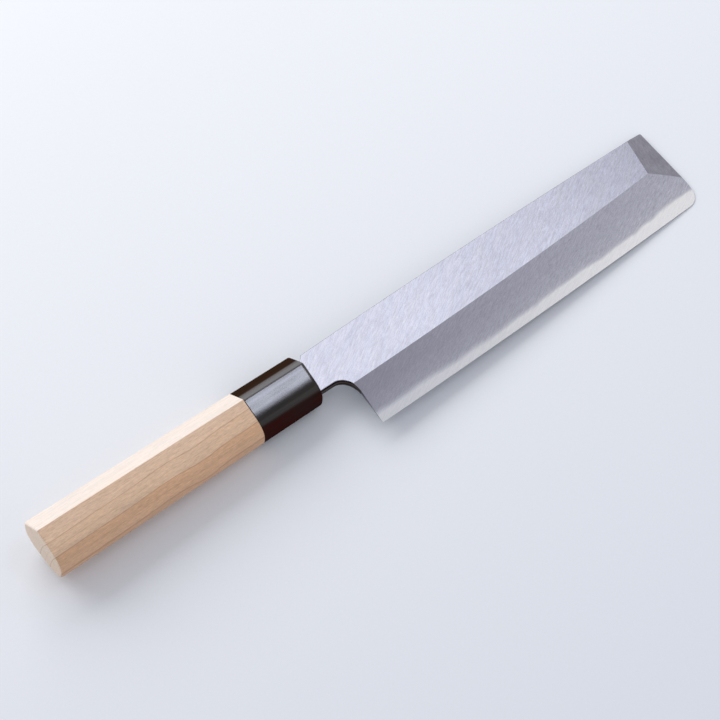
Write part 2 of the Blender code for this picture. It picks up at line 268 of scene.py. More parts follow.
def oval_point(width, height, angle):
    half_width = width / 2
    half_height = (height - CROWN_DROP) / 2
    fullness = CROWN_FULLNESS if math.sin(angle) > 0 else PALM_FULLNESS
    across = abs(math.cos(angle) / half_width) ** fullness
    upward = abs(math.sin(angle) / half_height) ** fullness
    radius = (across + upward) ** (-1 / fullness)
    return Vector((radius * math.cos(angle), radius * math.sin(angle) - CROWN_DROP / 2))


def crown_tangent_angle(width, height, ridge):
    """Where a straight line from the ridge just touches the oval."""
    best_angle, best_slope = math.pi / 2, math.inf
    for angle in steps(math.radians(95.0), math.radians(175.0), 400):
        point = oval_point(width, height, angle)
        slope = (ridge.y - point.y) / (ridge.x - point.x)
        if slope < best_slope:
            best_angle, best_slope = angle, slope
    return best_angle


def handle_section(width, height, softness):
    """Closed (y, z) outline of the oval with its one long ridge and its eased corners."""
    by_crown, by_flat, by_shoulder = softness
    ridge = Vector((RIDGE_OFFSET, height / 2))
    foot = oval_point(width, height, FLAT_FOOT_ANGLE)
    tangent_angle = crown_tangent_angle(width, height, ridge)
    tangent = oval_point(width, height, tangent_angle)
    flat_end = ridge + (foot - ridge).normalized() * by_flat
    crown_start = ridge + (tangent - ridge).normalized() * by_crown
    outline = [foot.lerp(flat_end, t) for t in steps(0, 1, 10)[:-1]]
    outline += corner_curve(flat_end, ridge, crown_start, 16)
    crown_end = tangent + (ridge - tangent).normalized() * by_shoulder
    outline += [crown_start.lerp(crown_end, t) for t in steps(0, 1, 10)[1:]]
    # The shoulder's corner lies where the crown's line meets the tangent at the palm's start
    palm_angle = tangent_angle + by_shoulder / (width / 2) * SHOULDER_REACH
    palm_start = oval_point(width, height, palm_angle)
    ahead = oval_point(width, height, palm_angle + TANGENT_STEP) - palm_start
    run = tangent - ridge
    off_y, off_z = palm_start.x - ridge.x, palm_start.y - ridge.y
    reach = (off_y * ahead.y - off_z * ahead.x) / (run.x * ahead.y - run.y * ahead.x)
    outline += corner_curve(crown_end, ridge + run * reach, palm_start, 12)[1:]
    full_turn = FLAT_FOOT_ANGLE + 2 * math.pi
    outline += [oval_point(width, height, a) for a in steps(palm_angle, full_turn, 130)[1:-1]]
    return outline


def tenon_section(outline, width, height):
    """Ellipse with a point for each point of an outline, so that the two can be skinned."""
    points = []
    for point in outline:
        angle = math.atan2(point.y, point.x)
        points.append(Vector((width / 2 * math.cos(angle), height / 2 * math.sin(angle))))
    return points


def ring_at(x, outline):
    return [(x, point.x, point.y) for point in outline]


def rounded_end(x, inward, width, height, softness, radius, count):
    """Rings that round the rim of an end face, from the face to the full section."""
    rings = []
    for angle in steps(0, math.pi / 2, count):
        inset = 2 * radius * (1 - math.sin(angle))
        outline = handle_section(width - inset, height - inset, softness)
        rings.append(ring_at(x + inward * radius * (1 - math.cos(angle)), outline))
    return rings


def ridged_rod(back, front, softness, run_ends, count):
    """Rings of a tapering rod whose two ends are each (x, width, height, rounding, rings)."""
    back_x, back_width, back_height, back_radius, back_count = back
    front_x, front_width, front_height, front_radius, front_count = front
    rings = rounded_end(back_x, 1, back_width, back_height, softness, back_radius, back_count)
    for t in [run_ends[0]] + steps(0, 1, count)[1:-1] + [run_ends[1]]:
        width, height = mix(back_width, front_width, t), mix(back_height, front_height, t)
        x = mix(back_x + back_radius, front_x - front_radius, t)
        rings.append(ring_at(x, handle_section(width, height, softness)))
    rings += rounded_end(front_x, -1, front_width, front_height, softness, front_radius,
                         front_count)[::-1]
    return rings


# Blade outline

def spine_y(x):
    share = (x - HEEL_X) / BLADE_LENGTH
    return mix(SPINE_HEEL_Y, SPINE_TIP_Y, share) + 4 * SPINE_CROWN * share * (1 - share)


def edge_y(x):
    share = (x - HEEL_X) / BLADE_LENGTH
    return mix(EDGE_HEEL_Y, EDGE_TIP_Y, share) - 4 * EDGE_BELLY * share * (1 - share)


def shoulder_y(x):
    """Line between the flat and the bevel."""
    share = (x - HEEL_X) / BLADE_LENGTH
    width = mix(BEVEL_HEEL_WIDTH, BEVEL_TIP_WIDTH, share)
    bow = 4 * BEVEL_BOW * share * (1 - share)
    return edge_y(x) + width - bow + BEVEL_END_LIFT * max(0, share) ** BEVEL_LIFT_POWER


def tang_sides(x):
    """Lower and upper side of the tang for a place behind the ferrule's front face."""
    if x > -TANG_ROOT:
        share = smooth(min(1.0, -x / TANG_ROOT)) if x < 0 else 0.0
        return [mix(a, b, share) for a, b in zip(TANG_MOUTH, TANG_ROOT_SIDES)]
    share = (-x - TANG_ROOT) / (TANG_LENGTH - TANG_ROOT)
    return [mix(a, b, share) for a, b in zip(TANG_ROOT_SIDES, TANG_END_SIDES)]


def tang_stations():
    return steps(-TANG_LENGTH, -TANG_ROOT, 8) + steps(-TANG_ROOT, 0, 12)[1:]


def blade_outline():
    """Outline in plan as (x, y, easing) from the tang's end round the edge to the spine."""
    outline = [(x, tang_sides(x)[0], SPINE_EASING) for x in tang_stations()]

    # Neck and curved cut-out down to the heel
    arch_x = HEEL_X + HEEL_LEAN - ARCH_LENGTH
    arch_y = NECK_LOWER_Y - ARCH_HEIGHT
    outline += [(x, NECK_LOWER_Y, NECK_EASING) for x in steps(NECK_START_X, arch_x, 8)[:-1]]
    for angle in steps(0, math.pi / 2, 40):
        x, y = arch_x + ARCH_LENGTH * math.sin(angle), arch_y + ARCH_HEIGHT * math.cos(angle)
        outline.append((x, y, mix(NECK_EASING, HEEL_EASING, smooth(angle * 2 / math.pi))))
    lean_x = outline[-1][0]
    outline += [(mix(lean_x, HEEL_X, t), mix(arch_y, edge_y(HEEL_X), t), HEEL_EASING * (1 - t))
                for t in (0.25, 0.5, 0.75)]

    # Cutting edge and the round corner at its end
    corner_x = TIP_X - CORNER_RUN
    outline += [(x, edge_y(x), 0.0) for x in steps(HEEL_X, corner_x, EDGE_STEPS)]
    corner_end = (TIP_X, EDGE_TIP_Y + CORNER_RISE)
    rounding = corner_curve((corner_x, edge_y(corner_x)), (TIP_X, EDGE_TIP_Y), corner_end, 32)
    outline += [(p.x, p.y, 0.0) for p in rounding[1:]]

    # End of the blade and the corner of the spine
    top_x = TIP_X - END_LEAN
    spine_x = top_x - SPINE_CORNER
    top = (top_x, spine_y(top_x))
    below_top = (top_x, top[1] - SPINE_CORNER)
    outline += [(mix(TIP_X, top_x, t), mix(corner_end[1], below_top[1], t), SPINE_EASING * t / 2)
                for t in steps(0, 1, 14)[1:-1]]
    rounding = corner_curve(below_top, top, (spine_x, spine_y(spine_x)), 8)
    outline += [(p.x, p.y, SPINE_EASING / 2) for p in rounding]

    # Spine, notch and the other side of the tang
    outline += [(x, spine_y(x), SPINE_EASING) for x in steps(spine_x, NOTCH_X, EDGE_STEPS)[1:]]
    outline.append((NOTCH_X - NOTCH_SLANT, spine_y(NOTCH_X) - NOTCH_DEPTH, SPINE_EASING / 2))
    outline += [(x, tang_sides(x)[1], SPINE_EASING) for x in reversed(tang_stations())]
    return outline


# Blade surfaces

def thickness(x):
    if x < 0:
        return mix(NECK_THICKNESS, TANG_END_THICKNESS, -x / TANG_LENGTH)
    if x < HEEL_X:
        return NECK_THICKNESS
    return mix(NECK_THICKNESS, TIP_THICKNESS, (x - HEEL_X) / BLADE_LENGTH)


def flat_z(x):
    return BACK_Z + thickness(x)


def bevel_slope(x):
    return (thickness(x) - EDGE_LAND) / (shoulder_y(x) - edge_y(x))


def lamination_stray(x):
    """Smooth wander of the lamination line about its straight run."""
    place = x * 1000
    for (x0, a), (x1, b) in zip(LAMINATION_WAVES, LAMINATION_WAVES[1:]):
        if x0 <= place <= x1:
            return mix(a, b, smooth((place - x0) / (x1 - x0))) / 1000
    return 0.0


def interface_z(x):
    """Height of the weld between the hard steel and the soft iron."""
    straight = mix(STEEL_HEEL_THICKNESS, STEEL_TIP_THICKNESS, (x - HEEL_X) / BLADE_LENGTH)
    return BACK_Z + straight + lamination_stray(x) * bevel_slope(max(x, HEEL_X))


def lamination_y(x):
    """Where the weld comes out of the bevel."""
    return edge_y(x) + (interface_z(x) - BACK_Z - EDGE_LAND) / bevel_slope(x)


def blade_forging():
    """The whole blade with eased long edges, before any grinding."""
    outline = blade_outline()
    count = len(outline)
    normals = []
    for i in range(count):
        before, after = outline[i - 1], outline[(i + 1) % count]
        along = Vector((after[0] - before[0], after[1] - before[1])).normalized()
        normals.append(Vector((along.y, -along.x)))
    rings = []
    for level in FORGING_LEVELS:
        ring = []
        for (x, y, easing), normal in zip(outline, normals):
            deep = thickness(x) * min(level, 1 - level)
            room = min(easing, thickness(x) / 2)
            inset = 0.0
            if deep < room:
                inset = (room - math.sqrt(room ** 2 - (room - deep) ** 2)) * easing / room
                inset *= NECK_INSET_SHARE if easing > SPINE_EASING else 1.0
            z = BACK_Z + thickness(x) * level
            ring.append((x - normal.x * inset, y - normal.y * inset, z))
        rings.append(ring)
    return mesh_object("forging", loft(rings))


def bevel_grind():
    """Everything in front of the cutting bevel."""
    rings = []
    top = BACK_Z + REACH
    for x in [HEEL_X - REACH / 2] + steps(HEEL_X, TIP_X, EDGE_STEPS) + [TIP_X + REACH]:
        place = max(x, HEEL_X)
        low_y, high_y = edge_y(place) - BEVEL_OVERRUN, shoulder_y(place) + BEVEL_OVERRUN
        section = []
        for y in steps(high_y, low_y, 6):
            section.append((y, flat_z(x) - (shoulder_y(place) - y) * bevel_slope(place)))
        section += [(low_y, top), (high_y, top)]
        rings.append([(x, y, z) for y, z in section])
    return loft(rings)


def end_facet_grind():
    """Everything in front of the small facet at the end."""
    start_x = TIP_X - END_LEAN - END_FACET_LENGTH
    start = Vector((start_x, spine_y(start_x), flat_z(start_x)))
    slope = END_FACET_DROP / END_FACET_LENGTH
    along = Vector((math.cos(END_FACET_SKEW), -math.sin(END_FACET_SKEW), 0))
    across = Vector((-along.y, along.x, 0))
    above = Vector((0, 0, REACH))
    rings = []
    for side in (-REACH * 3, REACH):
        base = start + across * side
        ahead = base + along * REACH * 2 - Vector((0, 0, REACH * 2 * slope))
        behind = base - along * REACH + Vector((0, 0, REACH * slope))
        rings.append([behind, ahead, ahead + above, behind + above])
    return loft(rings)


def steel_side(offset):
    """Everything behind the weld, moved towards the back by an offset."""
    rings = []
    left, right, low = -REACH * 3, REACH * 2, BACK_Z - REACH
    for x in [STEEL_START_X + offset] + steps(HEEL_X, TIP_X, WELD_STEPS) + [TIP_X + REACH]:
        high = interface_z(min(x, TIP_X)) - offset
        rings.append([(x, left, low), (x, right, low), (x, right, high), (x, left, high)])
    return loft(rings)


def back_hollow():
    """Everything behind the shallow hollow of the back."""
    middle_x = (HEEL_X + TIP_X) / 2
    half_length = BLADE_LENGTH / 2 - HOLLOW_RIM
    rings = []
    for along in steps(-HOLLOW_SPREAD, HOLLOW_SPREAD, 60):
        x = middle_x + along * half_length
        low_y, high_y = edge_y(x) + HOLLOW_RIM, spine_y(x) - HOLLOW_RIM
        ring = []
        for across in steps(-HOLLOW_SPREAD, HOLLOW_SPREAD, 24):
            rise = HOLLOW_DEPTH * (1 - across ** 2 - along ** HOLLOW_END_POWER)
            ring.append((x, mix(low_y, high_y, (across + 1) / 2), BACK_Z + rise))
        ring.append((x, ring[-1][1], BACK_Z - REACH))
        ring.append((x, ring[0][1], BACK_Z - REACH))
        rings.append(ring)
    return loft(rings)


def tang_slot():
    """Room for the tang in the wood and the horn, with a seam all round it."""
    rings = []
    for x in [-TANG_LENGTH - SEAM] + tang_stations()[1:] + [REACH]:
        lower, upper = tang_sides(min(0, max(x, -TANG_LENGTH)))
        left, right = lower - SEAM, upper + SEAM
        top, bottom = flat_z(min(0, x)) + SEAM, BACK_Z - SEAM
        rings.append([(x, left, bottom), (x, right, bottom), (x, right, top), (x, left, top)])
    return loft(rings)


# Node helpers

class Graph:
    """A material's node tree, with the place in the knife's own frame and short calls."""

    SOCKETS = {"colour": "Base Color", "rough": "Roughness", "metal": "Metallic",
               "specular": "Specular IOR Level", "normal": "Normal"}

    def __init__(self, name):
        self.material = bpy.data.materials.new(name)
        self.material.use_nodes = True
        self.tree = self.material.node_tree
        self.shader = self.tree.nodes["Principled BSDF"]
        on_table = self.node("ShaderNodeTexCoord").outputs["Object"]
        inputs = {"Vector": on_table, "Location": KNIFE_ORIGIN,
                  "Rotation": (0.0, KNIFE_PITCH, 0.0)}
        self.place = self.node("ShaderNodeMapping", inputs, vector_type="TEXTURE").outputs[0]
        self.x, self.y, self.z = self.node("ShaderNodeSeparateXYZ", {0: self.place}).outputs

    def connect(self, value, socket):
        if isinstance(value, bpy.types.NodeSocket):
            self.tree.links.new(value, socket)
        else:
            socket.default_value = value

    def node(self, kind, inputs=None, **settings):
        node = self.tree.nodes.new(kind)
        for key, value in settings.items():
            setattr(node, key, value)
        for key, value in (inputs or {}).items():
            self.connect(value, node.inputs[key])
        return node

    def math(self, operation, a, b=0.0, c=0.0, clamp=False):
        inputs = {0: a, 1: b, 2: c}
        return self.node("ShaderNodeMath", inputs, operation=operation, use_clamp=clamp).outputs[0]

    def product(self, first, *others):
        for other in others:
            first = self.math("MULTIPLY", first, other)
        return first

    def distance(self, a, b):
        return self.math("ABSOLUTE", self.math("SUBTRACT", a, b))

    def noise(self, stretch, detail=3.0, roughness=0.5, distortion=0.0, turn=0.0):
        """Noise over the place, turned about Z first and stretched afterwards."""
        spun = self.node("ShaderNodeVectorRotate", {"Vector": self.place, "Angle": turn},
                         rotation_type="Z_AXIS").outputs[0]
        vector = self.node("ShaderNodeVectorMath", {0: spun, 1: stretch},
                           operation="MULTIPLY").outputs[0]
        inputs = {"Vector": vector, "Scale": 1.0, "Detail": detail, "Roughness": roughness,
                  "Distortion": distortion}
        return self.node("ShaderNodeTexNoise", inputs).outputs["Fac"]

    def span(self, value, low, high, to_low=0.0, to_high=1.0, soft=False):
        """Carry one range of a value over to another, and hold what lies beyond its ends."""
        inputs = {"Value": value, "From Min": low, "From Max": high, "To Min": to_low,
                  "To Max": to_high}
        kind = "SMOOTHSTEP" if soft else "LINEAR"
        return self.node("ShaderNodeMapRange", inputs, interpolation_type=kind).outputs[0]

    def blend(self, share, a, b, mode="MIX"):
        # The node's sockets 6 and 7 and its output 2 are the ones for colours
        node = self.node("ShaderNodeMix", data_type="RGBA", blend_type=mode)
        self.connect(share, node.inputs[0])
        for colour, socket in ((a, node.inputs[6]), (b, node.inputs[7])):
            if not isinstance(colour, bpy.types.NodeSocket):
                colour = (*colour, 1.0)
            self.connect(colour, socket)
        return node.outputs[2]

    def scaled(self, colour, amount):
        inputs = {0: colour, 3: amount}
        return self.node("ShaderNodeVectorMath", inputs, operation="SCALE").outputs[0]

    def bump(self, height, strength, distance):
        inputs = {"Height": height, "Strength": strength, "Distance": distance}
        return self.node("ShaderNodeBump", inputs).outputs[0]

    def curve(self, value, points):
        node = self.node("ShaderNodeFloatCurve", {"Value": value})
        line = node.mapping.curves[0]
        while len(line.points) < len(points):
            line.points.new(0.5, 0.5)
        for point, place in zip(line.points, points):
            point.location = place
        node.mapping.update()
        return node.outputs[0]

    def set(self, **inputs):
        for key, value in inputs.items():
            self.connect(value, self.shader.inputs[self.SOCKETS[key]])
        return self.material


# Wood finish

WHITE = (1.0, 1.0, 1.0)
WOOD_SIDE_TONE = (0.775, 0.545, 0.388)
# Paler tone past the ridge: partly the wood's own, partly painted sheen of the window's light
WOOD_FAR_SHEEN_TONE = (0.83, 0.727, 0.65)
WOOD_END_TONE = (0.81, 0.655, 0.53)
WOOD_TINTS = ((0.99, 1.0, 1.012), (1.012, 0.997, 0.978))

# Growth lines as (place, tone below it, half width, tone on it), across the rings in millimetres
GROWTH_LINES = ((1.54, (0.95, 0.93, 0.89), 0.32, (0.76, 0.69, 0.64)),
                (-1.9, (1.0, 1.0, 1.0), 0.34, (0.92, 0.89, 0.86)),
                (-5.14, (0.97, 0.86, 0.765), 0.34, (0.77, 0.71, 0.66)),
                (-8.6, (1.0, 1.0, 1.0), 0.34, (0.95, 0.93, 0.91)),
                (-11.8, (0.92, 0.92, 0.93), 0.34, (0.80, 0.75, 0.72)))
GROWTH_STEP = 0.10
GROWTH_LINE_SHIFT = 0.05
GROWTH_TILT = math.radians(19.0)

# Wander of the growth lines from the butt to the ferrule, and its range in millimetres
GROWTH_WANDER = ((0.0, 0.08), (0.19, 0.27), (0.35, 0.40), (0.45, 0.56), (0.57, 0.72),
                 (0.64, 0.60), (0.72, 0.42), (0.79, 0.61), (0.85, 0.74), (0.91, 0.78),
                 (1.0, 0.86))
GROWTH_WANDER_RANGE = (-1.4, 1.0)

# Darker line along the ridge and how far it strays, and how the near side darkens towards the butt
RIDGE_LINE_SHIFT = 0.00025
RIDGE_LINE_WIDTH = 0.00028
RIDGE_LINE_DEPTH = 0.16
RIDGE_STRAY = 0.0002
BUTT_DARKENING_LENGTH = 0.050
BUTT_DARKENING_DEPTH = 0.055


def growth_coordinate(graph):
    """Distance across the growth rings, in millimetres, with their common wander."""
    across = graph.math("MULTIPLY_ADD", graph.y, 1000 * math.cos(GROWTH_TILT),
                        graph.math("MULTIPLY", graph.z, 1000 * math.sin(GROWTH_TILT)))
    along = graph.span(graph.x, BUTT_X, -FERRULE_LENGTH)
    wander = graph.span(graph.curve(along, GROWTH_WANDER), 0.0, 1.0, *GROWTH_WANDER_RANGE)
    centimetres = graph.math("MULTIPLY", graph.z, 100.0)
    bow = graph.math("MULTIPLY", graph.math("POWER", centimetres, 2.0), 0.9)
    ripple = graph.span(graph.noise((30.0, 60.0, 60.0), detail=2.0), 0.3, 0.7, -0.15, 0.15)
    total = graph.math("SUBTRACT", across, wander)
    return graph.math("ADD", graph.math("ADD", total, bow), ripple)


def wood_colour(graph, near_tone, far_tone, bands):
    """Colour with growth lines, fibres and short pores, and the fibres and pores themselves.

    The far tone lies past the ridge; on the sides it is paler than the near tone, partly the wood's
    own tone and partly painted sheen. The bands say how strongly the wider changes of tone show:
    those between growth lines, along the ridge and towards the butt.
    """
    growth = growth_coordinate(graph)
    past_ridge = graph.span(graph.y, RIDGE_OFFSET - RIDGE_STRAY, RIDGE_OFFSET + RIDGE_STRAY,
                            soft=True)
    # Past the ridge the far tone comes in, on the sides partly painted sheen
    colour = graph.blend(past_ridge, near_tone, far_tone)
    drift = graph.span(graph.noise((90.0, 10.0, 10.0)), 0.3, 0.7, -RIDGE_STRAY, RIDGE_STRAY)
    off_ridge = graph.distance(graph.math("ADD", graph.y, drift), RIDGE_OFFSET - RIDGE_LINE_SHIFT)
    colour = graph.scaled(colour, graph.span(off_ridge, 0.0, RIDGE_LINE_WIDTH,
                                             1.0 - RIDGE_LINE_DEPTH * bands, 1.0, soft=True))
    for line, tone, width, depth in GROWTH_LINES:
        below = graph.span(growth, line - GROWTH_STEP, line + GROWTH_STEP, 1.0, 0.0, soft=True)
        near = graph.span(graph.distance(growth, line - GROWTH_LINE_SHIFT), 0.0, width, 1.0, 0.0,
                          soft=True)
        colour = graph.blend(bands, colour, graph.blend(below, WHITE, tone), "MULTIPLY")
        colour = graph.blend(1.0, colour, graph.blend(near, WHITE, depth), "MULTIPLY")
    warmth = graph.span(graph.noise((40.0, 260.0, 260.0)), 0.35, 0.65)
    colour = graph.blend(1.0, colour, graph.blend(warmth, *WOOD_TINTS), "MULTIPLY")
    streak = graph.noise((34.0, 620.0, 620.0), roughness=0.6)
    colour = graph.scaled(colour, graph.span(streak, 0.3, 0.7, 0.955, 1.045))
    fibre = graph.noise((110.0, 1500.0, 1500.0), detail=4.0, roughness=0.65)
    colour = graph.scaled(colour, graph.span(fibre, 0.25, 0.75, 0.92, 1.08))
    grain = graph.noise((420.0, 3200.0, 3200.0), detail=2.0, roughness=0.7)
    swing = graph.product(graph.span(grain, 0.25, 0.75, -0.19, 0.19),
                          graph.span(past_ridge, 0.0, 1.0, 1.0, 0.4))
    colour = graph.scaled(colour, graph.math("ADD", swing, 1.0))
    cloud = graph.noise((22.0, 120.0, 120.0))
    colour = graph.scaled(colour, graph.span(cloud, 0.3, 0.7, 0.975, 1.025))
    # The near side darker towards the butt
    butt_darkening = graph.span(graph.x, BUTT_X, BUTT_X + BUTT_DARKENING_LENGTH, 1.0 - BUTT_DARKENING_DEPTH * bands, 1.0)
    colour = graph.blend(past_ridge, graph.scaled(colour, butt_darkening), colour)
    pores = graph.noise((260.0, 3600.0, 3600.0), detail=1.0)
    return graph.scaled(colour, graph.span(pores, 0.64, 0.78, 1.0, 0.88)), fibre, pores


def wood_side():
    graph = Graph("magnolia_side")
    colour, fibre, pores = wood_colour(graph, WOOD_SIDE_TONE, WOOD_FAR_SHEEN_TONE, 1.0)
    height = graph.math("SUBTRACT", graph.math("MULTIPLY", fibre, 0.6),
                        graph.span(pores, 0.66, 0.8))
    return graph.set(colour=colour, rough=graph.span(fibre, 0.3, 0.7, 0.50, 0.60),
                     normal=graph.bump(height, 0.25, 0.00004))


def wood_end():
    graph = Graph("magnolia_end")
    colour = wood_colour(graph, WOOD_END_TONE, WOOD_END_TONE, 0.15)[0]
    vessels = graph.noise((500.0, 2600.0, 2600.0), detail=2.0, roughness=0.7)
    rays = graph.noise((100.0, 300.0, 2600.0), detail=2.0)
    colour = graph.scaled(colour, graph.span(vessels, 0.3, 0.7, 0.95, 1.04))
    colour = graph.scaled(colour, graph.span(rays, 0.3, 0.7, 0.975, 1.02))
    return graph.set(colour=colour, rough=graph.span(vessels, 0.3, 0.7, 0.62, 0.74),
                     normal=graph.bump(vessels, 0.3, 0.00006))


# Horn finish, with the dark and the light tone of the streaks in each band

HORN_BLACK = ((0.014, 0.012, 0.011), (0.030, 0.022, 0.018))
# Grey beside the ridge, painted reflection
HORN_REFLECTION_GREY = ((0.052, 0.048, 0.047), (0.064, 0.059, 0.057))
HORN_WARM = ((0.066, 0.046, 0.036), (0.078, 0.054, 0.043))
HORN_AMBER = ((0.018, 0.0066, 0.0015), (0.027, 0.0100, 0.0028))
HORN_RED = (0.040, 0.007, 0.006)


def horn():
    """Dark horn whose tone and polish change in bands across its width, partly as painted
    reflection and painted shade.
    """
    graph = Graph("buffalo_horn")

    def across(start, end, low=0.0, high=1.0):
        return graph.span(graph.y, start, end, low, high, soft=True)

    streak = graph.noise((28.0, 420.0, 420.0), detail=5.0, roughness=0.6, distortion=0.3)
    mottle = graph.noise((60.0, 160.0, 160.0))
    fine = graph.span(streak, 0.35, 0.75)

    # Red low flank, a smoky band past the ridge whose grey beside the ridge is painted reflection
    # and which warms outwards into the horn's own tone, and amber far side
    colour = graph.blend(fine, *HORN_BLACK)
    reddish = graph.product(across(-0.0088, -0.0112), graph.span(mottle, 0.35, 0.65, 0.4, 0.9))
    colour = graph.blend(reddish, colour, HORN_RED)
    smoke_and_reflection = graph.blend(graph.span(graph.y, 0.0036, 0.0062), graph.blend(fine, *HORN_REFLECTION_GREY),
                        graph.blend(fine, *HORN_WARM))
    smoke_reflection_band = graph.product(across(0.0020, 0.0028), across(0.0078, 0.0046))
    colour = graph.blend(smoke_reflection_band, colour, smoke_and_reflection)
    colour = graph.blend(across(0.0050, 0.0076), colour, graph.blend(fine, *HORN_AMBER))

    # Rougher where the smoky band is worn
    rough = graph.math("ADD", graph.span(streak, 0.3, 0.7, 0.11, 0.16),
                       graph.span(mottle, 0.3, 0.7, -0.015, 0.02))
    worn = graph.product(across(0.0016, 0.0027), across(0.0060, 0.0040))
    rough = graph.math("MULTIPLY_ADD", worn, 0.20, rough)

    # The specular level is full on the crown, dips beside the ridge, and fades towards both flanks;
    # the dip and the fades are painted shade on the reflections
    highlight_dip = graph.span(graph.distance(graph.y, 0.0013), 0.0, 0.0009, 0.86, 1.0, soft=True)
    polish_and_painted_shade = graph.product(across(0.0068, 0.0031, 0.003), highlight_dip, across(-0.0056, -0.0028, 0.34),
                           across(-0.0102, -0.0090))

    scratches = graph.noise((120.0, 5200.0, 400.0), detail=2.0, turn=0.35)
    height = graph.math("MULTIPLY_ADD", streak, 0.8, graph.math("MULTIPLY", scratches, 0.25))
    # The specular level carries painted shade on the horn's reflections
    return graph.set(colour=colour, rough=rough, specular=polish_and_painted_shade,
                     normal=graph.bump(height, 0.12, 0.00003))


# Metal finishes: a pair of tones runs from the heel to the tip, or from dark to light; the runs
# from heel to tip on the flat, the bevel and the strip are painted reflection

# Flat tones fall from heel to tip as painted reflection
FLAT_REFLECTION_TONES = ((0.80, 0.808, 0.94), (0.54, 0.545, 0.645))
FLAT_TINTS = ((0.99, 0.994, 1.006), (1.01, 1.006, 0.994))
FLAT_REFLECTION_FALL_POWER = 2.2
# Bevel tones brighten from heel to tip as painted reflection
BEVEL_REFLECTION_TONES = ((0.295, 0.288, 0.341), (0.445, 0.44, 0.508))
BEVEL_WELD_TONE = (0.57, 0.57, 0.61)
# Facet tones kept darker than the bevel as painted shade
FACET_SHADED_TONES = ((0.285, 0.278, 0.318), (0.345, 0.338, 0.386))
# Dark of the neck's underside, and its lighter line of painted reflection
NECK_DARK_AND_REFLECTION_TONES = ((0.014, 0.010, 0.010), (0.085, 0.052, 0.036))
SIDE_TONE = (0.16, 0.16, 0.18)
# Strip tones brighten from heel to tip as painted reflection
STRIP_REFLECTION_TONES = ((0.625, 0.62, 0.635), (0.795, 0.785, 0.785))
STRIP_WELD_TONE = (0.50, 0.50, 0.54)
BACK_TONE = (0.72, 0.73, 0.76)
STEEL_SIDE_TONE = (0.40, 0.39, 0.40)
STEEL_ARCH_TONE = (0.045, 0.038, 0.035)

# Name of the mesh layer with each point's height above the weld line
WELD_LAYER = "above_weld"


def brushed(name, paint, rough, turn, lines_gain, bump_gain, rise=0.0):
    """Metal with fine parallel grinding lines at a turn, in degrees, from the blade's length.

    The paint gives the colour under the lines, whose gain grows from heel to tip by the rise.
    """
    graph = Graph(name)
    turn = -math.radians(turn)
    fine = graph.noise((330.0, 3000.0, 300.0), detail=2.0, roughness=0.6, turn=turn)
    broad = graph.noise((90.0, 800.0, 100.0), roughness=0.55, turn=turn)
    grit = graph.noise((2800.0, 2800.0, 2800.0), detail=1.0)
    cloud = soft_cloud(graph)
    lines = graph.math("MULTIPLY_ADD", fine, 0.55, graph.math("MULTIPLY", broad, 0.15))
    lines = graph.math("MULTIPLY_ADD", grit, 0.30, lines)
    gain = graph.span(along_blade(graph), 0.0, 1.0, lines_gain, lines_gain * (1.0 + rise))
    swing = graph.product(graph.span(lines, 0.35, 0.65, -1.0, 1.0), gain)
    colour = graph.scaled(paint(graph), graph.math("ADD", swing, 1.0))
    colour = graph.scaled(colour, graph.span(cloud, 0.3, 0.7, 0.985, 1.015))
    roughness = graph.math("ADD", graph.span(lines, 0.35, 0.65, rough - 0.04, rough + 0.04),
                           graph.span(cloud, 0.3, 0.7, -0.015, 0.015))
    return graph.set(colour=colour, metal=1.0, rough=roughness,
                     normal=graph.bump(lines, bump_gain, 0.00002))


def along_blade(graph):
    """0 at the heel and 1 at the tip."""
    return graph.span(graph.x, HEEL_X, TIP_X)


def soft_cloud(graph):
    """Broad soft unevenness of every metal finish."""
    return graph.noise((25.0, 60.0, 60.0), detail=2.0)


def ragged_height(graph, stretch, stray):
    """Height above the weld line in millimetres, made ragged in streaks."""
    height = graph.node("ShaderNodeAttribute", attribute_name=WELD_LAYER).outputs["Fac"]
    swirl = graph.noise(stretch, detail=4.0, roughness=0.6, turn=-0.2)
    return graph.math("ADD", height, graph.span(swirl, 0.3, 0.7, -stray, stray))


def plain(tone):
    return lambda graph: tone


def painted_reflection_fade(graph):
    """Tone of the flat that falls off towards the tip as painted reflection, with faint warmer and
    cooler patches.
    """
    patches = graph.span(graph.noise((60.0, 300.0, 50.0), turn=-0.68), 0.35, 0.65)
    fall = graph.math("POWER", along_blade(graph), FLAT_REFLECTION_FALL_POWER)
    return graph.blend(1.0, graph.blend(fall, *FLAT_REFLECTION_TONES), graph.blend(patches, *FLAT_TINTS),
                       "MULTIPLY")


def clouded_shade(graph):
    """Grey of the facet with soft uneven patches, as a hand on the stone leaves it, darker than the
    bevel as painted shade.
    """
    patches = graph.span(graph.noise((90.0, 130.0, 90.0)), 0.35, 0.65)
    return graph.blend(patches, *FACET_SHADED_TONES)


def dark_neck_with_reflection(graph):
    """Dark underside of the neck with a lighter brown line along the middle of its thickness,
    painted reflection of its rounded middle.
    """
    off = graph.distance(graph.z, 0.0007)
    ragged = graph.math("ADD", off, graph.span(soft_cloud(graph), 0.3, 0.7, -0.0003, 0.0003))
    return graph.blend(graph.span(ragged, 0.0003, 0.0011, 1.0, 0.0, soft=True), *NECK_DARK_AND_REFLECTION_TONES)


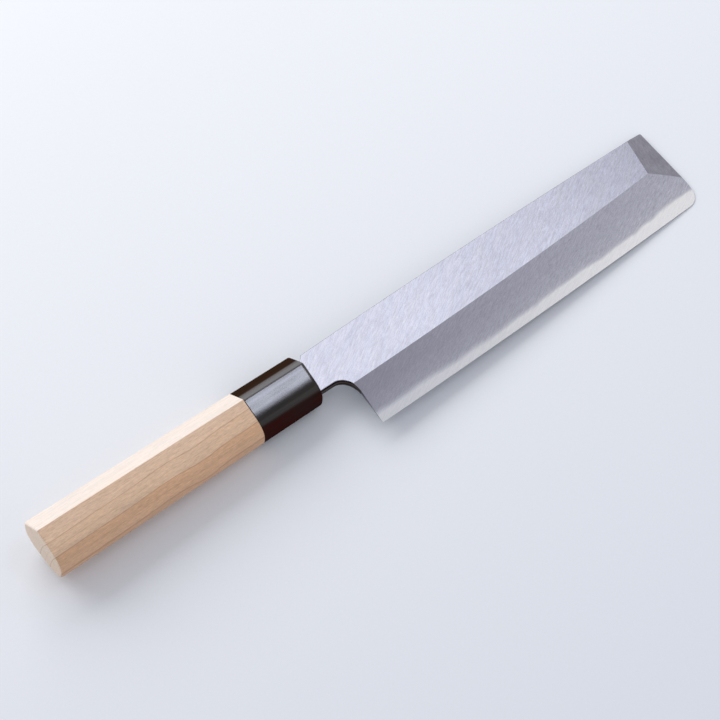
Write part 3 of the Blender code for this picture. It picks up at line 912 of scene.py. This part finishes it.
def stone_haze_and_reflection(graph):
    """Grey of the bevel, hazy near the weld as a stone leaves it and lighter over a wider band
    towards the weld, that brightens from heel to tip as painted reflection.
    """
    ragged = ragged_height(graph, (55.0, 320.0, 50.0), 0.35)
    near = graph.product(graph.span(ragged, 0.0, 1.5, 1.0, 0.0, soft=True),
                         graph.span(along_blade(graph), 0.3, 1.0, 0.28, 0.12))
    wide = graph.span(ragged, 0.0, 9.0, 0.25, 0.0)
    share = graph.math("ADD", near, wide, clamp=True)
    return graph.blend(share, graph.blend(along_blade(graph), *BEVEL_REFLECTION_TONES), BEVEL_WELD_TONE)


def steel_haze_and_reflection(graph):
    """Bright steel of the strip that dulls into the weld, and brightens from heel to tip as painted
    reflection.
    """
    ragged = ragged_height(graph, (70.0, 420.0, 50.0), 0.3)
    share = graph.span(ragged, -1.6, 0.0, soft=True)
    return graph.blend(share, graph.blend(along_blade(graph), *STRIP_REFLECTION_TONES), STRIP_WELD_TONE)


# Pieces

def build_handle():
    shoulder_x = -FERRULE_LENGTH - SEAM
    tenon_x = -FERRULE_FRONT_WALL - SEAM
    rings = ridged_rod((BUTT_X, BUTT_WIDTH, BUTT_HEIGHT, BUTT_ROUNDING, 10),
                       (shoulder_x, JOINT_WIDTH, JOINT_HEIGHT, JOINT_EASING, 4),
                       WOOD_SOFTNESS, HANDLE_RUN_ENDS, 16)
    joint = handle_section(JOINT_WIDTH, JOINT_HEIGHT, WOOD_SOFTNESS)
    tenon = tenon_section(joint, TENON_WIDTH, TENON_HEIGHT)
    chamfered = tenon_section(joint, TENON_WIDTH - 2 * TENON_CHAMFER,
                              TENON_HEIGHT - 2 * TENON_CHAMFER)
    rings += [ring_at(shoulder_x, tenon), ring_at(tenon_x - TENON_CHAMFER, tenon),
              ring_at(tenon_x, chamfered)]
    handle = mesh_object("handle", loft(rings))
    cut(handle, tang_slot())

    def pick(centre, normal):
        return 1 if normal.x < -0.8 and centre.x < BUTT_X + BUTT_ROUNDING / 2 else 0

    finish_piece(handle, "wood_handle_body", [wood_side(), wood_end()], pick,
                 WOOD_SHARP_ANGLE, "handle_wood")


def build_ferrule():
    rings = ridged_rod((-FERRULE_LENGTH, JOINT_WIDTH, JOINT_HEIGHT, FERRULE_REAR_EASING, 5),
                       (0, FERRULE_FRONT_WIDTH, FERRULE_FRONT_HEIGHT, FERRULE_RIM_ROUNDING, 12),
                       HORN_SOFTNESS, FERRULE_RUN_ENDS, 8)
    ferrule = mesh_object("ferrule", loft(rings))
    joint = handle_section(JOINT_WIDTH, JOINT_HEIGHT, HORN_SOFTNESS)
    bore = tenon_section(joint, TENON_WIDTH + 2 * SEAM, TENON_HEIGHT + 2 * SEAM)
    cut(ferrule, loft([ring_at(-FERRULE_LENGTH - REACH, bore), ring_at(-FERRULE_FRONT_WALL, bore)]))
    cut(ferrule, tang_slot())
    finish_piece(ferrule, "horn_ferrule_body", [horn()], lambda centre, normal: 0,
                 HORN_SHARP_ANGLE, "ferrule_horn")


def mark_weld_height(item):
    """Store how far each point of the front lies above the weld line, in millimetres."""
    layer = item.data.attributes.new(WELD_LAYER, "FLOAT", "POINT")
    for vertex, value in zip(item.data.vertices, layer.data):
        x = min(max(vertex.co.x, HEEL_X), TIP_X)
        value.value = (vertex.co.y - lamination_y(x)) * 1000


def blade_face(centre, normal):
    """Which part of the blade a face belongs to: its neck is the underside down to the heel."""
    if normal.z < -0.9:
        return "back"
    if normal.z < 0.97 and (normal.y > 0.2 or abs(normal.z) < 0.9):
        return "neck" if normal.y < 0 and centre.x < HEEL_X + NECK_FINISH_OVERRUN else "side"
    if normal.x > 0.05 and normal.y > -0.05:
        return "facet"
    if normal.y < -0.04 and centre.x > 0:
        return "bevel"
    return "flat"


def finish_blade_piece(item, name, finishes, node):
    """Finish a piece of the blade, where each finish is the parts it covers and a material."""
    indices, materials = {}, []
    for index, (parts, material) in enumerate(finishes):
        indices.update(dict.fromkeys(parts.split(), index))
        materials.append(material)
    finish_piece(item, name, materials, lambda centre, normal: indices[blade_face(centre, normal)],
                 BLADE_SHARP_ANGLE, node)


def build_blade():
    """Grind the whole blade, then part it at the weld into the iron and the steel."""
    steel = blade_forging()
    cut(steel, bevel_grind())
    cut(steel, end_facet_grind())
    iron = copy_solid(steel, "iron")
    cut(iron, steel_side(0.0))
    cut(steel, steel_side(SEAM), "INTERSECT")
    cut(steel, back_hollow())
    mark_weld_height(iron)
    mark_weld_height(steel)
    finish_blade_piece(iron, "soft_iron_body", [
        ("flat", brushed("iron_flat_brushed", painted_reflection_fade, rough=0.36, turn=32.0, lines_gain=0.15,
                         bump_gain=0.30, rise=0.4)),
        ("bevel", brushed("iron_bevel_stone", stone_haze_and_reflection, rough=0.46, turn=28.0, lines_gain=0.14,
                          bump_gain=0.22, rise=0.9)),
        ("facet", brushed("iron_facet_stone", clouded_shade, rough=0.46, turn=80.0, lines_gain=0.20,
                          bump_gain=0.25)),
        ("back side", brushed("iron_side_satin", plain(SIDE_TONE), rough=0.45, turn=0.0,
                              lines_gain=0.08, bump_gain=0.3)),
        ("neck", brushed("iron_neck_dark", dark_neck_with_reflection, rough=0.34, turn=0.0, lines_gain=0.08,
                         bump_gain=0.3)),
    ], "blade_soft_iron")
    finish_blade_piece(steel, "hard_steel_layer", [
        ("flat bevel facet", brushed("steel_edge_strip", steel_haze_and_reflection, rough=0.40, turn=28.0,
                                     lines_gain=0.08, bump_gain=0.12)),
        ("back", brushed("steel_back_polished", plain(BACK_TONE), rough=0.24, turn=88.0,
                         lines_gain=0.03, bump_gain=0.15)),
        ("side", brushed("steel_narrow_side", plain(STEEL_SIDE_TONE), rough=0.30, turn=0.0,
                         lines_gain=0.05, bump_gain=0.2)),
        ("neck", brushed("steel_arch_dark", plain(STEEL_ARCH_TONE), rough=0.34, turn=0.0,
                         lines_gain=0.05, bump_gain=0.2)),
    ], "blade_hard_steel")


# Studio

CAMERA_TURN = math.radians(37.25)
CAMERA_ELEVATION = math.radians(61.946)
CAMERA_DISTANCE = 1.211
CAMERA_AIM = Vector((0.02246, -0.00658, 0.0))
CAMERA_CLIP = (0.05, 50.0)
LENS = 147.4
SENSOR = 36.0

TABLE_MIDDLE = Vector((0.0, 0.0, 0.01))
FERRULE_TOP = KNIFE_ORIGIN + Vector((-0.015, 0.0, 0.009))
BLADE_TIP = KNIFE_ORIGIN + Vector((0.175, -0.02, -0.008))
WORLD_TONE = (0.93, 0.95, 1.0, 1.0)
WORLD_LEVEL = 0.55

# The table lies a hair below the knife; its colour runs from a cool front to a paler back, painted
# falloff of the light from the window behind
FLOOR_HALF_SIZE = 3.0
FLOOR_Z = -0.00004
FLOOR_FALLOFF_TONES = ((0.765, 0.79, 0.855), (0.90, 0.918, 0.95))


def add_camera():
    forward = Vector((math.sin(CAMERA_TURN) * math.cos(CAMERA_ELEVATION),
                      math.cos(CAMERA_TURN) * math.cos(CAMERA_ELEVATION),
                      -math.sin(CAMERA_ELEVATION)))
    data = bpy.data.cameras.new("camera")
    data.lens = LENS
    data.sensor_width = SENSOR
    data.clip_start, data.clip_end = CAMERA_CLIP
    camera = bpy.data.objects.new("camera", data)
    camera.location = KNIFE_ORIGIN + CAMERA_AIM - forward * CAMERA_DISTANCE
    camera.rotation_euler = forward.to_track_quat("-Z", "Y").to_euler()
    bpy.context.scene.collection.objects.link(camera)
    bpy.context.scene.camera = camera


def add_panel(name, place, aim, width, height, level, colour=WHITE):
    """A soft rectangular light whose face shines at a level, where 1 is a white surface."""
    data = bpy.data.lights.new(name, "AREA")
    data.shape = "RECTANGLE"
    data.size = width
    data.size_y = height
    data.energy = level * math.pi * width * height
    data.color = colour
    panel = bpy.data.objects.new(name, data)
    panel.location = place
    panel.rotation_euler = (aim - place).to_track_quat("-Z", "Y").to_euler()
    bpy.context.scene.collection.objects.link(panel)


def towards(azimuth, elevation, distance):
    """A place seen from the middle of the knife at an azimuth from +X and an elevation."""
    a, e = math.radians(azimuth), math.radians(elevation)
    return Vector((math.cos(a) * math.cos(e), math.sin(a) * math.cos(e), math.sin(e))) * distance


def add_lights():
    """A window behind the knife, a card in front, and small panels for the horn and the blade."""
    add_panel("key_window", towards(93.0, 34.0, 1.6), TABLE_MIDDLE,
              width=2.3, height=1.1, level=2.7, colour=(1.0, 0.99, 0.97))
    add_panel("fill_card", towards(-72.0, 32.0, 1.5), TABLE_MIDDLE,
              width=1.3, height=1.1, level=0.45, colour=(1.0, 0.99, 0.98))
    add_panel("crown_box", FERRULE_TOP + Vector((0.347, -0.155, 0.925)), FERRULE_TOP,
              width=0.12, height=0.10, level=8.0, colour=(0.79, 0.83, 1.0))
    add_panel("blade_box", BLADE_TIP + Vector((0.46, 0.05, 0.885)) * 0.6, BLADE_TIP,
              width=0.16, height=0.16, level=1.6)
    world = bpy.data.worlds.new("studio")
    bpy.context.scene.world = world
    world.use_nodes = True
    background = world.node_tree.nodes["Background"]
    background.inputs["Color"].default_value = WORLD_TONE
    background.inputs["Strength"].default_value = WORLD_LEVEL


def add_floor():
    half = FLOOR_HALF_SIZE
    bm = bmesh.new()
    corners = [(-half, -half), (half, -half), (half, half), (-half, half)]
    bm.faces.new([bm.verts.new((x, y, FLOOR_Z)) for x, y in corners])
    floor = mesh_object("studio_table", bm)
    graph = Graph("table_paper")
    paper = graph.noise((900.0, 900.0, 900.0), detail=2.0)
    # Paler towards the back as painted falloff of the window's light, then darker far behind
    colour = graph.blend(graph.span(graph.y, -0.24, 0.24), *FLOOR_FALLOFF_TONES)
    colour = graph.scaled(colour, graph.span(graph.y, 0.30, 1.00, 1.0, 0.55))
    colour = graph.scaled(colour, graph.span(paper, 0.3, 0.7, 0.995, 1.005))
    floor.data.materials.append(graph.set(colour=colour, rough=0.9, specular=0.0))


build_handle()
build_ferrule()
build_blade()
add_floor()
add_lights()
add_camera()
bpy.context.scene.view_settings.view_transform = "Standard"
